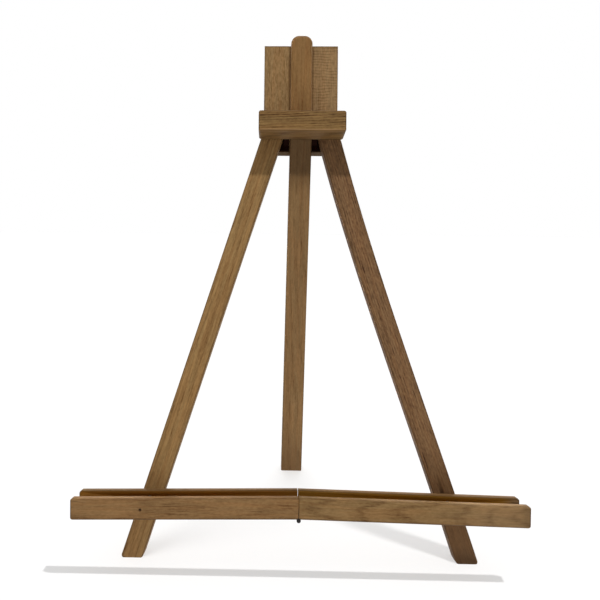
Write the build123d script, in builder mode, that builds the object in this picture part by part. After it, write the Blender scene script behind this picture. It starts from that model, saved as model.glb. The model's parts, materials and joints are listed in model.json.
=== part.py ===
from build123d import *
from math import cos, radians, sin, tan
import os

os.makedirs("parts", exist_ok=True)

# A folding tabletop easel: a head of three wooden layers, two front legs that turn
# on bolts inside the head, a rear leg hinged under the centre slat, and a tray in two halves.
# Positions on the head, the front legs and the tray are given as across, up and back,
# measured from the leaning front plane that the legs lie along.

# Angles, in degrees
lean = 13.0
splay = 17.7
rear_swing = 26.7
tray_droop = 1.1

# Front plane's foot line, in millimetres from the origin, which is under the middle of the easel
front_y = -111.2

# Wood sections
leg_width = 24.0
leg_thickness = 19.0
arris = 1.6
foot_round = 3.2

# Header bar
header_width = 99.0
header_bottom = 489.8
header_height = 23.8
header_depth = 33.5
header_corner = 2.6
header_round = 2.0
header_screw_across = 9.3
header_screw_up = 506.5

# Centre slat and back panel
slat_width = 25.4
slat_top = 615.0
slat_corner = 9.5
slat_round = 4.0
panel_width = 89.0
panel_thickness = 19.0
panel_bottom = 480.0
panel_top = 610.0
panel_edge = 0.6
panel_screw_heights = (530.0, 560.0, 590.0)

# Front leg pivots
pivot_across = 32.0
pivot_up = 499.0
bolt_radius = 3.0
bolt_reach = 24.0
bolt_head_radius = 5.8
bolt_head_height = 4.0
bolt_washer_radius = 8.0
washer_thickness = 1.2
running_fit = 0.05
gap = 0.3

# Rear leg and its hinge
rear_top_width = 25.4
rear_foot_width = 30.6
rear_length = 520.0
rear_hinge_up = 496.0
leaf_thickness = 1.2
knuckle_radius = 2.3
hinge_pin_radius = 1.0
knuckle_room = 0.4
head_hinge_width = 20.0
head_leaf_depth = 13.4
head_screw_across = 5.5
head_screw_depth = 8.3
rear_seat_gap = 0.4
rear_seat_room = 1.0

# Tray
tray_pivot_up = 70.0
tray_pivot_height = 14.5
tray_half_length = 251.0
lip_thickness = 10.0
front_lip_height = 24.0
back_lip_height = 25.0
lip_arris = 2.2
channel_width = 19.0
base_thickness = 9.0
back_lip_inset = 1.5
front_lip_corner = 3.2
back_lip_corner = 3.5
joint_gap = 0.25
tray_screw_radius = 2.25
tray_screw_head_radius = 4.0
tray_screw_head_height = 2.8
tray_screw_reach = 14.0
counterbore_radius = 4.6
counterbore_depth = 4.0
tray_washer_radius = 6.0
pin_hole_radius = 1.3
pin_hole_out = 173.9
pin_hole_rise = 12.3
tray_leaf_width = 15.0
tray_hinge_front = -39.7
tray_hinge_back = -3.7
tray_leaf_front = -33.7
tray_leaf_screw_out = 9.5
tray_leaf_screw_spread = 6.0

# Flat-head wood screws, drawn with flat sides
screw_sides = 12
screw_radius = 1.4
screw_head_radius = 2.8
screw_head_height = 1.2
screw_head_taper = 45
hinge_screw_length = 14.0
tray_hinge_screw_length = 7.0
panel_screw_length = 34.0
header_screw_length = 42.0

# Derived places
leg_front = gap
leg_back = leg_front + leg_thickness
slat_thickness = leg_back + gap
panel_front = slat_thickness
panel_back = panel_front + panel_thickness
hinge_back = knuckle_radius + gap
slat_bottom = rear_hinge_up + gap
rear_tilt = rear_swing - lean
knuckle_cut = knuckle_radius + knuckle_room
tray_back = -washer_thickness
tray_front = tray_back - 2 * lip_thickness - channel_width
tray_pivot_across = pivot_across + (pivot_up - tray_pivot_up) * tan(radians(splay))
tray_bottom = leaf_thickness
tray_pivot_rise = tray_bottom + tray_pivot_height
droop_sin = sin(radians(tray_droop))
droop_cos = cos(radians(tray_droop))
tray_pivot_out = (tray_pivot_across - tray_pivot_rise * droop_sin) / droop_cos
tray_hinge_up = tray_pivot_up + tray_pivot_out * droop_sin - tray_pivot_rise * droop_cos

# Directions in space
lean_sin = sin(radians(lean))
lean_cos = cos(radians(lean))
across = Vector(1, 0, 0)
upward = Vector(0, lean_sin, lean_cos)
backward = Vector(0, lean_cos, -lean_sin)
forward = Vector(0, -lean_cos, lean_sin)
rear_backward = Vector(0, cos(radians(rear_tilt)), sin(radians(rear_tilt)))

sides = (("left", -1), ("right", 1))
pivots = ((-pivot_across, pivot_up), (pivot_across, pivot_up))


def place(out, up, back):
    """Point in space from its distances across, up and back."""
    return Vector(0, front_y, 0) + across * out + upward * up + backward * back


def face_plane(back):
    """Plane along the head and front legs: local x is across, local y is up, normal forward."""
    return Plane(origin=place(0, 0, back), x_dir=across, z_dir=forward)


def level_plane(up):
    """Plane square to the head: local x is across, local y is back, normal up the head."""
    return Plane(origin=place(0, up, 0), x_dir=across, z_dir=upward)


def side_plane(out):
    """Plane on edge: local x is back, local y is up, normal across to the right."""
    return Plane(origin=place(out, 0, 0), x_dir=backward, z_dir=across)


def rear_plane(depth):
    """Plane along the rear leg, this far behind its hinge axis: local y is up the leg."""
    axis = place(0, rear_hinge_up, hinge_back)
    return Plane(origin=axis + rear_backward * depth, x_dir=across, z_dir=rear_backward * -1)


def tray_outward(side):
    """Direction along one tray half, away from the middle joint."""
    return across * (side * droop_cos) - upward * droop_sin


def tray_upward(side):
    """Direction up through one tray half."""
    return across * (side * droop_sin) + upward * droop_cos


def tray_plane(side, back):
    """Plane along the front of a tray half: local x is outward, local y is up, from the hinge."""
    outward = tray_outward(side)
    return Plane(
        origin=place(0, tray_hinge_up, back),
        x_dir=outward,
        z_dir=outward.cross(tray_upward(side)),
    )


def tray_floor_plane(side):
    """Plane along the underside of a tray half, facing up: local y is back on the right half."""
    return Plane(
        origin=place(0, tray_hinge_up, 0), x_dir=tray_outward(side), z_dir=tray_upward(side)
    )


def long_edges(part, shortest):
    """The straight edges of a part that are at least this long."""
    return part.edges().filter_by(lambda edge: edge.length > shortest)


# Header bar: rounded along the front, drilled from the back for the leg bolts and the slat's screws
header_middle = header_bottom + header_height / 2
header_screw_points = [(out, header_screw_up) for out in (-header_screw_across, header_screw_across)]
header_screw_tip = slat_thickness - header_screw_length

with BuildPart() as header_bar:
    with BuildSketch(face_plane(0)):
        with Locations((0, header_middle)):
            Rectangle(header_width, header_height)
    extrude(amount=header_depth)
    fillet(header_bar.edges().filter_by(Axis(place(0, 0, 0), forward)), radius=header_corner)
    front_face = header_bar.faces().sort_by(Axis(place(0, 0, 0), forward))[-1]
    fillet(front_face.edges(), radius=header_round)
    with BuildSketch(face_plane(0)):
        with Locations(*pivots):
            Circle(bolt_radius)
    extrude(amount=bolt_reach, mode=Mode.SUBTRACT)
    with BuildSketch(face_plane(0)):
        with Locations(*header_screw_points):
            RegularPolygon(screw_radius, screw_sides)
    extrude(amount=-header_screw_tip, mode=Mode.SUBTRACT)
header_bar.part.label = "header_bar"
export_step(header_bar.part, "parts/header_bar.step")

# Centre slat: round top, with the rear leg's hinge let into its lower end
panel_screw_points = [(0, height) for height in panel_screw_heights]
leaf_end = hinge_back + head_leaf_depth
hinge_screw_back = hinge_back + head_screw_depth
hinge_screw_points = [(out, hinge_screw_back) for out in (-head_screw_across, head_screw_across)]

with BuildPart() as centre_slat:
    with BuildSketch(face_plane(0)) as slat_outline:
        with Locations((0, slat_bottom)):
            Rectangle(slat_width, slat_top - slat_bottom, align=(Align.CENTER, Align.MIN))
        fillet(slat_outline.vertices().group_by(Axis.Y)[-1], radius=slat_corner)
    extrude(amount=-slat_thickness)
    slat_front = centre_slat.faces().sort_by(Axis(place(0, 0, 0), forward))[-1]
    edges_above_foot = slat_front.edges().sort_by(Axis(place(0, 0, 0), upward))[1:]
    fillet(edges_above_foot, radius=slat_round)
    with BuildSketch(side_plane(-slat_width)):
        with Locations((hinge_back, rear_hinge_up)):
            Circle(knuckle_cut)
    extrude(amount=2 * slat_width, mode=Mode.SUBTRACT)
    with BuildSketch(level_plane(slat_bottom)):
        Rectangle(head_hinge_width, leaf_end, align=(Align.CENTER, Align.MIN))
    extrude(amount=leaf_thickness, mode=Mode.SUBTRACT)
    with BuildSketch(level_plane(slat_bottom)):
        with Locations(*hinge_screw_points):
            RegularPolygon(screw_radius, screw_sides)
    extrude(amount=hinge_screw_length, mode=Mode.SUBTRACT)
    with BuildSketch(face_plane(slat_thickness)):
        with Locations(*panel_screw_points):
            RegularPolygon(screw_radius, screw_sides)
    extrude(amount=panel_screw_length - panel_thickness, mode=Mode.SUBTRACT)
    with BuildSketch(face_plane(slat_thickness)):
        with Locations(*header_screw_points):
            RegularPolygon(screw_radius, screw_sides)
    extrude(amount=slat_thickness, mode=Mode.SUBTRACT)
    with BuildSketch(face_plane(slat_thickness)):
        with Locations(*header_screw_points):
            RegularPolygon(screw_head_radius, screw_sides)
    extrude(amount=screw_head_height, taper=screw_head_taper, mode=Mode.SUBTRACT)
centre_slat.part.label = "centre_slat"
export_step(centre_slat.part, "parts/centre_slat.step")

# Screws that fix the slat to the bar, hidden under the panel
with BuildPart() as header_screws:
    with BuildSketch(face_plane(slat_thickness)):
        with Locations(*header_screw_points):
            RegularPolygon(screw_radius, screw_sides)
    extrude(amount=header_screw_length)
    with BuildSketch(face_plane(slat_thickness)):
        with Locations(*header_screw_points):
            RegularPolygon(screw_head_radius, screw_sides)
    extrude(amount=screw_head_height, taper=screw_head_taper)
header_screws.part.label = "header_screws"
export_step(header_screws.part, "parts/header_screws.step")

# Back panel: a plain board with a sloped seat at its foot for the opened rear leg
rear_back_depth = leg_thickness - knuckle_radius

with BuildPart() as back_panel:
    with BuildSketch(face_plane(panel_front)):
        with Locations((0, panel_bottom)):
            Rectangle(
                panel_width, panel_top - panel_bottom, align=(Align.CENTER, Align.MIN)
            )
    extrude(amount=-panel_thickness)
    chamfer(long_edges(back_panel, panel_width / 2), length=panel_edge)
    with BuildSketch(rear_plane(rear_back_depth + rear_seat_gap)):
        Rectangle(rear_top_width + 2 * rear_seat_room, 4 * leg_width)
    extrude(amount=2 * leg_thickness, mode=Mode.SUBTRACT)
    with BuildSketch(face_plane(panel_back)):
        with Locations(*pivots):
            Circle(bolt_radius + running_fit)
    extrude(amount=panel_thickness, mode=Mode.SUBTRACT)
    with BuildSketch(face_plane(panel_back)):
        with Locations(*panel_screw_points):
            RegularPolygon(screw_radius, screw_sides)
    extrude(amount=panel_thickness, mode=Mode.SUBTRACT)
    with BuildSketch(face_plane(panel_back)):
        with Locations(*panel_screw_points):
            RegularPolygon(screw_head_radius, screw_sides)
    extrude(amount=screw_head_height, taper=screw_head_taper, mode=Mode.SUBTRACT)
back_panel.part.label = "back_panel"
export_step(back_panel.part, "parts/back_panel.step")

with BuildPart() as panel_screws:
    with BuildSketch(face_plane(panel_back)):
        with Locations(*panel_screw_points):
            RegularPolygon(screw_radius, screw_sides)
    extrude(amount=panel_screw_length)
    with BuildSketch(face_plane(panel_back)):
        with Locations(*panel_screw_points):
            RegularPolygon(screw_head_radius, screw_sides)
    extrude(amount=screw_head_height, taper=screw_head_taper)
panel_screws.part.label = "panel_screws"
export_step(panel_screws.part, "parts/panel_screws.step")

# Hex-headed pivot bolts, from the panel's back through the legs into the bar
bolt_head_seat = panel_back + washer_thickness

with BuildPart() as pivot_bolts:
    with BuildSketch(face_plane(bolt_head_seat)):
        with Locations(*pivots):
            Circle(bolt_radius)
    extrude(amount=bolt_head_seat + bolt_reach)
    with BuildSketch(face_plane(bolt_head_seat)):
        with Locations(*pivots):
            RegularPolygon(bolt_head_radius, 6)
    extrude(amount=-bolt_head_height)
pivot_bolts.part.label = "pivot_bolts"
export_step(pivot_bolts.part, "parts/pivot_bolts.step")

with BuildPart() as bolt_washers:
    with BuildSketch(face_plane(panel_back)):
        with Locations(*pivots):
            Circle(bolt_washer_radius)
            Circle(bolt_radius + running_fit, mode=Mode.SUBTRACT)
    extrude(amount=-washer_thickness)
bolt_washers.part.label = "bolt_washers"
export_step(bolt_washers.part, "parts/bolt_washers.step")

# Front legs: round tops about the bolts, feet cut level with the floor
leg_reach = pivot_up / cos(radians(splay)) + leg_width

for side_name, side in sides:
    with BuildPart() as front_leg:
        with BuildSketch(face_plane(leg_front)):
            with Locations(Location((side * pivot_across, pivot_up), side * splay)):
                Rectangle(leg_width, 2 * leg_reach)
        extrude(amount=-leg_thickness)
        fillet(long_edges(front_leg, leg_reach), radius=arris)
        with BuildSketch(face_plane(leg_front)) as leg_outline:
            with Locations(Location((side * pivot_across, pivot_up), side * splay)):
                Rectangle(leg_width, leg_reach, align=(Align.CENTER, Align.MAX))
                Circle(leg_width / 2)
            Rectangle(
                leg_reach, 2 * leg_width, align=(Align.CENTER, Align.MAX), mode=Mode.SUBTRACT
            )
            fillet(leg_outline.vertices().group_by(Axis.Y)[0], radius=foot_round)
        extrude(amount=-leg_thickness, mode=Mode.INTERSECT)
        split(bisect_by=Plane.XY, keep=Keep.TOP)
        with BuildSketch(face_plane(leg_front)):
            with Locations((side * pivot_across, pivot_up)):
                Circle(bolt_radius + running_fit)
        extrude(amount=-leg_thickness, mode=Mode.SUBTRACT)
        with BuildSketch(face_plane(leg_front)):
            with Locations((side * tray_pivot_across, tray_pivot_up)):
                Circle(tray_screw_radius)
        extrude(amount=-tray_screw_reach, mode=Mode.SUBTRACT)
    front_leg.part.label = f"{side_name}_leg"
    export_step(front_leg.part, f"parts/{side_name}_leg.step")

# Rear leg: widens to its foot, its top cut to bear on the slat when it is swung back
with BuildPart() as rear_leg:
    with BuildSketch(rear_plane(-knuckle_radius)):
        with BuildLine():
            Polyline(
                (-rear_top_width / 2, leg_width),
                (rear_top_width / 2, leg_width),
                (rear_top_width / 2, 0),
                (rear_foot_width / 2, -rear_length),
                (-rear_foot_width / 2, -rear_length),
                (-rear_top_width / 2, 0),
                close=True,
            )
        make_face()
    extrude(amount=-leg_thickness)
    fillet(long_edges(rear_leg, rear_length / 2), radius=arris)
    split(bisect_by=level_plane(rear_hinge_up - gap), keep=Keep.BOTTOM)
    split(bisect_by=Plane.XY, keep=Keep.TOP)
    with BuildSketch(side_plane(-slat_width)):
        with Locations((hinge_back, rear_hinge_up)):
            Circle(knuckle_cut)
    extrude(amount=2 * slat_width, mode=Mode.SUBTRACT)
    with BuildSketch(level_plane(rear_hinge_up - gap)):
        Rectangle(head_hinge_width, leaf_end, align=(Align.CENTER, Align.MIN))
    extrude(amount=-leaf_thickness, mode=Mode.SUBTRACT)
    with BuildSketch(level_plane(rear_hinge_up - gap)):
        with Locations(*hinge_screw_points):
            RegularPolygon(screw_radius, screw_sides)
    extrude(amount=-hinge_screw_length, mode=Mode.SUBTRACT)
rear_leg.part.label = "rear_leg"
export_step(rear_leg.part, "parts/rear_leg.step")

# Rear leg's butt hinge: two knuckles on the slat's leaf, one between them on the leg's leaf
third = head_hinge_width / 3
slat_knuckles = (
    (-head_hinge_width / 2, third - gap / 2),
    (head_hinge_width / 2 - third + gap / 2, third - gap / 2),
)
leg_knuckles = ((-third / 2 + gap / 2, third - gap),)
hinge_leaves = (
    ("slat", slat_bottom, 1, slat_knuckles, leg_knuckles),
    ("leg", rear_hinge_up - gap, -1, leg_knuckles, slat_knuckles),
)

for leaf_name, face_up, facing, own_knuckles, other_knuckles in hinge_leaves:
    leaf_plane = Plane(origin=place(0, face_up, 0), x_dir=across, z_dir=upward * facing)
    leaf_screw_points = [(out, facing * back) for out, back in hinge_screw_points]
    with BuildPart() as hinge_leaf:
        with BuildSketch(leaf_plane):
            with Locations((0, facing * (hinge_back + head_leaf_depth / 2))):
                Rectangle(head_hinge_width, head_leaf_depth)
        extrude(amount=leaf_thickness)
        for start, width in own_knuckles:
            with BuildSketch(side_plane(start)):
                with Locations((hinge_back, rear_hinge_up)):
                    Circle(knuckle_radius)
            extrude(amount=width)
        for start, width in other_knuckles:
            with BuildSketch(side_plane(start - gap / 2)):
                with Locations((hinge_back, rear_hinge_up)):
                    Circle(knuckle_cut)
            extrude(amount=width + gap, mode=Mode.SUBTRACT)
        bore = hinge_pin_radius if leaf_name == "slat" else hinge_pin_radius + running_fit
        with BuildSketch(side_plane(-head_hinge_width / 2)):
            with Locations((hinge_back, rear_hinge_up)):
                Circle(bore)
        extrude(amount=head_hinge_width, mode=Mode.SUBTRACT)
        with BuildSketch(leaf_plane):
            with Locations(*leaf_screw_points):
                RegularPolygon(screw_head_radius, screw_sides)
        extrude(amount=screw_head_height, taper=screw_head_taper, mode=Mode.SUBTRACT)
    hinge_leaf.part.label = f"{leaf_name}_hinge_leaf"
    export_step(hinge_leaf.part, f"parts/{leaf_name}_hinge_leaf.step")

    with BuildPart() as hinge_screws:
        with BuildSketch(leaf_plane):
            with Locations(*leaf_screw_points):
                RegularPolygon(screw_radius, screw_sides)
        extrude(amount=hinge_screw_length)
        with BuildSketch(leaf_plane):
            with Locations(*leaf_screw_points):
                RegularPolygon(screw_head_radius, screw_sides)
        extrude(amount=screw_head_height, taper=screw_head_taper)
    hinge_screws.part.label = f"{leaf_name}_hinge_screws"
    export_step(hinge_screws.part, f"parts/{leaf_name}_hinge_screws.step")

with BuildPart() as head_hinge_pin:
    with BuildSketch(side_plane(-head_hinge_width / 2)):
        with Locations((hinge_back, rear_hinge_up)):
            Circle(hinge_pin_radius)
    extrude(amount=head_hinge_width)
head_hinge_pin.part.label = "head_hinge_pin"
export_step(head_hinge_pin.part, "parts/head_hinge_pin.step")

# Tray halves: two lips either side of a base strip, drooping a little from the middle joint
base_front = tray_front + lip_thickness
back_lip_front = tray_back - lip_thickness
tray_pivot = (tray_pivot_out, tray_pivot_rise)
back_length = tray_half_length - back_lip_inset
tray_hinge_length = tray_hinge_back - tray_hinge_front
tray_hinge_middle = (tray_hinge_back + tray_hinge_front) / 2


def tray_screw_points(side):
    """Places of the hinge screws on the underside of a tray half."""
    return [
        (tray_leaf_screw_out, side * (tray_hinge_middle + spread))
        for spread in (-tray_leaf_screw_spread, tray_leaf_screw_spread)
    ]


for side_name, side in sides:
    with BuildPart() as front_lip:
        with BuildSketch(tray_plane(side, tray_front)):
            with Locations((0, tray_bottom)):
                Rectangle(
                    3 * tray_half_length, front_lip_height, align=(Align.CENTER, Align.MIN)
                )
        extrude(amount=lip_thickness, dir=backward)
        fillet(long_edges(front_lip, tray_half_length), radius=lip_arris)
        with BuildSketch(tray_plane(side, tray_front)) as lip_outline:
            with Locations((joint_gap, tray_bottom)):
                Rectangle(
                    tray_half_length - joint_gap, front_lip_height, align=(Align.MIN, Align.MIN)
                )
            fillet(lip_outline.vertices().group_by(Axis.X)[-1], radius=front_lip_corner)
            Circle(knuckle_cut, mode=Mode.SUBTRACT)
        extrude(amount=lip_thickness, dir=backward, mode=Mode.INTERSECT)
        if side_name == "left":
            with BuildSketch(tray_plane(side, tray_front)):
                with Locations((pin_hole_out, pin_hole_rise)):
                    Circle(pin_hole_radius)
            extrude(amount=lip_thickness, dir=backward, mode=Mode.SUBTRACT)
    front_lip.part.label = f"{side_name}_front_lip"
    export_step(front_lip.part, f"parts/{side_name}_front_lip.step")

    with BuildPart() as tray_base:
        with BuildSketch(tray_plane(side, base_front)):
            with Locations((joint_gap, tray_bottom)):
                Rectangle(back_length - joint_gap, base_thickness, align=(Align.MIN, Align.MIN))
            Circle(knuckle_cut, mode=Mode.SUBTRACT)
        extrude(amount=channel_width, dir=backward)
        with BuildSketch(tray_floor_plane(side)):
            with Locations(*tray_screw_points(side)):
                RegularPolygon(screw_radius, screw_sides)
        extrude(amount=tray_hinge_screw_length, mode=Mode.SUBTRACT)
    tray_base.part.label = f"{side_name}_tray_base"
    export_step(tray_base.part, f"parts/{side_name}_tray_base.step")

    with BuildPart() as back_lip:
        with BuildSketch(tray_plane(side, back_lip_front)):
            with Locations((0, tray_bottom)):
                Rectangle(
                    3 * tray_half_length, back_lip_height, align=(Align.CENTER, Align.MIN)
                )
        extrude(amount=lip_thickness, dir=backward)
        fillet(long_edges(back_lip, tray_half_length), radius=lip_arris)
        with BuildSketch(tray_plane(side, back_lip_front)) as lip_outline:
            with Locations((joint_gap, tray_bottom)):
                Rectangle(back_length - joint_gap, back_lip_height, align=(Align.MIN, Align.MIN))
            fillet(lip_outline.vertices().group_by(Axis.X)[-1], radius=back_lip_corner)
            Circle(knuckle_cut, mode=Mode.SUBTRACT)
        extrude(amount=lip_thickness, dir=backward, mode=Mode.INTERSECT)
        with BuildSketch(tray_plane(side, back_lip_front)):
            with Locations(tray_pivot):
                Circle(tray_screw_radius + running_fit)
        extrude(amount=lip_thickness, dir=backward, mode=Mode.SUBTRACT)
        with BuildSketch(tray_plane(side, back_lip_front)):
            with Locations(tray_pivot):
                Circle(counterbore_radius)
        extrude(amount=counterbore_depth, dir=backward, mode=Mode.SUBTRACT)
    back_lip.part.label = f"{side_name}_back_lip"
    export_step(back_lip.part, f"parts/{side_name}_back_lip.step")

    with BuildPart() as tray_washer:
        with BuildSketch(tray_plane(side, tray_back)):
            with Locations(tray_pivot):
                Circle(tray_washer_radius)
                Circle(tray_screw_radius + 2 * running_fit, mode=Mode.SUBTRACT)
        extrude(amount=washer_thickness, dir=backward)
    tray_washer.part.label = f"{side_name}_tray_washer"
    export_step(tray_washer.part, f"parts/{side_name}_tray_washer.step")

# Tray pivot screws: the left one is driven into its leg with play under its head
head_seat = back_lip_front + counterbore_depth
tray_screws = (
    ("left", -1, head_seat - gap, leg_front + tray_screw_reach),
    ("right", 1, head_seat, leg_front - gap),
)

for side_name, side, seat, tip in tray_screws:
    with BuildPart() as tray_screw:
        with BuildSketch(tray_plane(side, seat)):
            with Locations(tray_pivot):
                Circle(tray_screw_radius)
        extrude(amount=tip - seat, dir=backward)
        with BuildSketch(tray_plane(side, seat)):
            with Locations(tray_pivot):
                Circle(tray_screw_head_radius)
        extrude(amount=tray_screw_head_height, dir=forward)
    tray_screw.part.label = f"{side_name}_tray_screw"
    export_step(tray_screw.part, f"parts/{side_name}_tray_screw.step")

# Tray's butt hinge, screwed under the joint of the two halves
tray_third = tray_hinge_length / 3
outer_knuckles = (
    (tray_hinge_front, tray_third - gap / 2),
    (tray_hinge_back - tray_third + gap / 2, tray_third - gap / 2),
)
middle_knuckles = ((tray_hinge_front + tray_third + gap / 2, tray_third - gap),)
tray_leaves = (
    ("left", -1, outer_knuckles, middle_knuckles, hinge_pin_radius),
    ("right", 1, middle_knuckles, outer_knuckles, hinge_pin_radius + running_fit),
)

for side_name, side, own_knuckles, other_knuckles, bore in tray_leaves:
    with BuildPart() as tray_leaf:
        with BuildSketch(tray_plane(side, tray_leaf_front)):
            Rectangle(tray_leaf_width, leaf_thickness, align=(Align.MIN, Align.MIN))
        extrude(amount=tray_hinge_back - tray_leaf_front, dir=backward)
        for start, length in own_knuckles:
            with BuildSketch(tray_plane(side, start)):
                Circle(knuckle_radius)
            extrude(amount=length, dir=backward)
        for start, length in other_knuckles:
            with BuildSketch(tray_plane(side, start - gap / 2)):
                Circle(knuckle_cut)
            extrude(amount=length + gap, dir=backward, mode=Mode.SUBTRACT)
        with BuildSketch(tray_plane(side, tray_hinge_front)):
            Circle(bore)
        extrude(amount=tray_hinge_length, dir=backward, mode=Mode.SUBTRACT)
        with BuildSketch(tray_floor_plane(side)):
            with Locations(*tray_screw_points(side)):
                RegularPolygon(screw_head_radius, screw_sides)
        extrude(amount=screw_head_height, taper=screw_head_taper, mode=Mode.SUBTRACT)
    tray_leaf.part.label = f"tray_hinge_{side_name}_leaf"
    export_step(tray_leaf.part, f"parts/tray_hinge_{side_name}_leaf.step")

    with BuildPart() as leaf_screws:
        with BuildSketch(tray_floor_plane(side)):
            with Locations(*tray_screw_points(side)):
                RegularPolygon(screw_radius, screw_sides)
        extrude(amount=tray_hinge_screw_length)
        with BuildSketch(tray_floor_plane(side)):
            with Locations(*tray_screw_points(side)):
                RegularPolygon(screw_head_radius, screw_sides)
        extrude(amount=screw_head_height, taper=screw_head_taper)
    leaf_screws.part.label = f"tray_hinge_{side_name}_screws"
    export_step(leaf_screws.part, f"parts/tray_hinge_{side_name}_screws.step")

with BuildPart() as tray_hinge_pin:
    with BuildSketch(tray_plane(1, tray_hinge_front)):
        Circle(hinge_pin_radius)
    extrude(amount=tray_hinge_length, dir=backward)
tray_hinge_pin.part.label = "tray_hinge_pin"
export_step(tray_hinge_pin.part, "parts/tray_hinge_pin.step")
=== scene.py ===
"""Looks of a folding oak tabletop easel: oiled wood, black butt hinge, plated screws and bolts."""

import json
from math import cos, pi, radians, sin

import bmesh
import bpy
from mathutils import Matrix, Vector


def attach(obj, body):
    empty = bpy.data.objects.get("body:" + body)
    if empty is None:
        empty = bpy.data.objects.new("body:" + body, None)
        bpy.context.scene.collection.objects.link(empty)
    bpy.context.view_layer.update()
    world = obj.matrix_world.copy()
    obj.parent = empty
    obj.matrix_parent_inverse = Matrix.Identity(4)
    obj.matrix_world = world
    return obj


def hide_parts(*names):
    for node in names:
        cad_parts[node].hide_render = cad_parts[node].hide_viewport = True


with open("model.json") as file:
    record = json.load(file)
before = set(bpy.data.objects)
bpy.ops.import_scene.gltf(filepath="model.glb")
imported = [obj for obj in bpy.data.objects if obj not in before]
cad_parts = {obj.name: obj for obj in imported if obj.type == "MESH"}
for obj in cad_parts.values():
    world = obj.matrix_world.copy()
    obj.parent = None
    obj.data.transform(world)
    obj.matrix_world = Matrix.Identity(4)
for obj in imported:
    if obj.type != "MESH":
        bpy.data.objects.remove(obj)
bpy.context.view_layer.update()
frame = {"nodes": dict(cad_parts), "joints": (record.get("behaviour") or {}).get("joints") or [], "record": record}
nodes = frame["nodes"]
joints = {joint["name"]: joint for joint in frame["joints"]}

# Directions of the boards, from the frame's joints and the angles of the opened easel
rear_leg_tilt = radians(13.7)
tray_droop = radians(1.1)
across = Vector((1, 0, 0))
forward = Vector(joints["left_leg_splay"]["axis"]).normalized()
backward = -forward
upward = across.cross(backward)
hip = Vector(joints["left_leg_splay"]["pos_m"])
ledge = Vector(joints["left_tray_pivot"]["pos_m"])
left_leg_run = (hip - ledge) - backward * (hip - ledge).dot(backward)
left_leg_run.normalize()
right_leg_run = Vector((-left_leg_run.x, left_leg_run.y, left_leg_run.z))
rear_leg_run = Vector((0, -sin(rear_leg_tilt), cos(rear_leg_tilt)))
rear_leg_face = Vector((0, cos(rear_leg_tilt), sin(rear_leg_tilt)))
tray_run = {
    "left": -across * cos(tray_droop) - upward * sin(tray_droop),
    "right": across * cos(tray_droop) - upward * sin(tray_droop),
}
tray_up = {
    "left": upward * cos(tray_droop) - across * sin(tray_droop),
    "right": upward * cos(tray_droop) + across * sin(tray_droop),
}


# Small helpers for node trees

def srgb(red, green, blue):
    """Linear colour from the 8-bit numbers of a colour picker."""
    linear = []
    for level in (red, green, blue):
        share = level / 255
        linear.append(share / 12.92 if share <= 0.04045 else ((share + 0.055) / 1.055) ** 2.4)
    return (*linear, 1.0)


def put(tree, socket, value):
    """Links a socket into another, or sets a plain value."""
    if isinstance(value, bpy.types.NodeSocket):
        tree.links.new(value, socket)
    else:
        socket.default_value = value


def calc(tree, operation, *values):
    """A Math node on numbers or sockets."""
    node = tree.nodes.new("ShaderNodeMath")
    node.operation = operation
    for socket, value in zip(node.inputs, values):
        put(tree, socket, value)
    return node.outputs[0]


def shift(tree, operation, *values):
    """A Vector Math node on vectors or sockets."""
    node = tree.nodes.new("ShaderNodeVectorMath")
    node.operation = operation
    for socket, value in zip(node.inputs, values):
        put(tree, socket, value)
    return node.outputs["Value"] if operation == "LENGTH" else node.outputs["Vector"]


def noise(tree, vector, stretch, detail=2.0):
    """Noise at so many features a metre along each axis, from 0 to 1."""
    node = tree.nodes.new("ShaderNodeTexNoise")
    put(tree, node.inputs["Vector"], shift(tree, "MULTIPLY", vector, stretch))
    node.inputs["Scale"].default_value = 1.0
    node.inputs["Detail"].default_value = detail
    return node.outputs[0]


def ease(tree, value, start, end):
    """A smooth step from 0 at start to 1 at end."""
    node = tree.nodes.new("ShaderNodeMapRange")
    node.interpolation_type = "SMOOTHSTEP"
    put(tree, node.inputs["Value"], value)
    put(tree, node.inputs["From Min"], start)
    put(tree, node.inputs["From Max"], end)
    return node.outputs[0]


def limit(tree, value, low=0.0, high=1.0):
    """A value kept between two numbers."""
    node = tree.nodes.new("ShaderNodeClamp")
    tree.links.new(value, node.inputs["Value"])
    node.inputs["Min"].default_value = low
    node.inputs["Max"].default_value = high
    return node.outputs[0]


def blend_colour(tree, factor, first, second):
    """A mix of two colours, which may run past either. The node's colour sockets come last."""
    node = tree.nodes.new("ShaderNodeMix")
    node.data_type = "RGBA"
    node.clamp_factor = False
    put(tree, node.inputs[0], factor)
    put(tree, node.inputs[6], first)
    put(tree, node.inputs[7], second)
    return node.outputs[2]


def split(tree, vector):
    """The three parts of a vector."""
    node = tree.nodes.new("ShaderNodeSeparateXYZ")
    tree.links.new(vector, node.inputs[0])
    return node.outputs


def join(tree, x, y, z):
    """A vector from three parts."""
    node = tree.nodes.new("ShaderNodeCombineXYZ")
    for socket, value in zip(node.inputs, (x, y, z)):
        put(tree, socket, value)
    return node.outputs[0]


def group_tree(name, kind, inputs, outputs):
    """An empty node group with named sockets, and its input and output ends."""
    tree = bpy.data.node_groups.new(name, kind)
    for socket_name, socket_kind in inputs:
        tree.interface.new_socket(name=socket_name, in_out="INPUT", socket_type=socket_kind)
    for socket_name, socket_kind in outputs:
        tree.interface.new_socket(name=socket_name, in_out="OUTPUT", socket_type=socket_kind)
    given = tree.nodes.new("NodeGroupInput").outputs
    result = tree.nodes.new("NodeGroupOutput").inputs
    return tree, given, result


number = "NodeSocketFloat"
vector_kind = "NodeSocketVector"
colour_kind = "NodeSocketColor"

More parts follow.
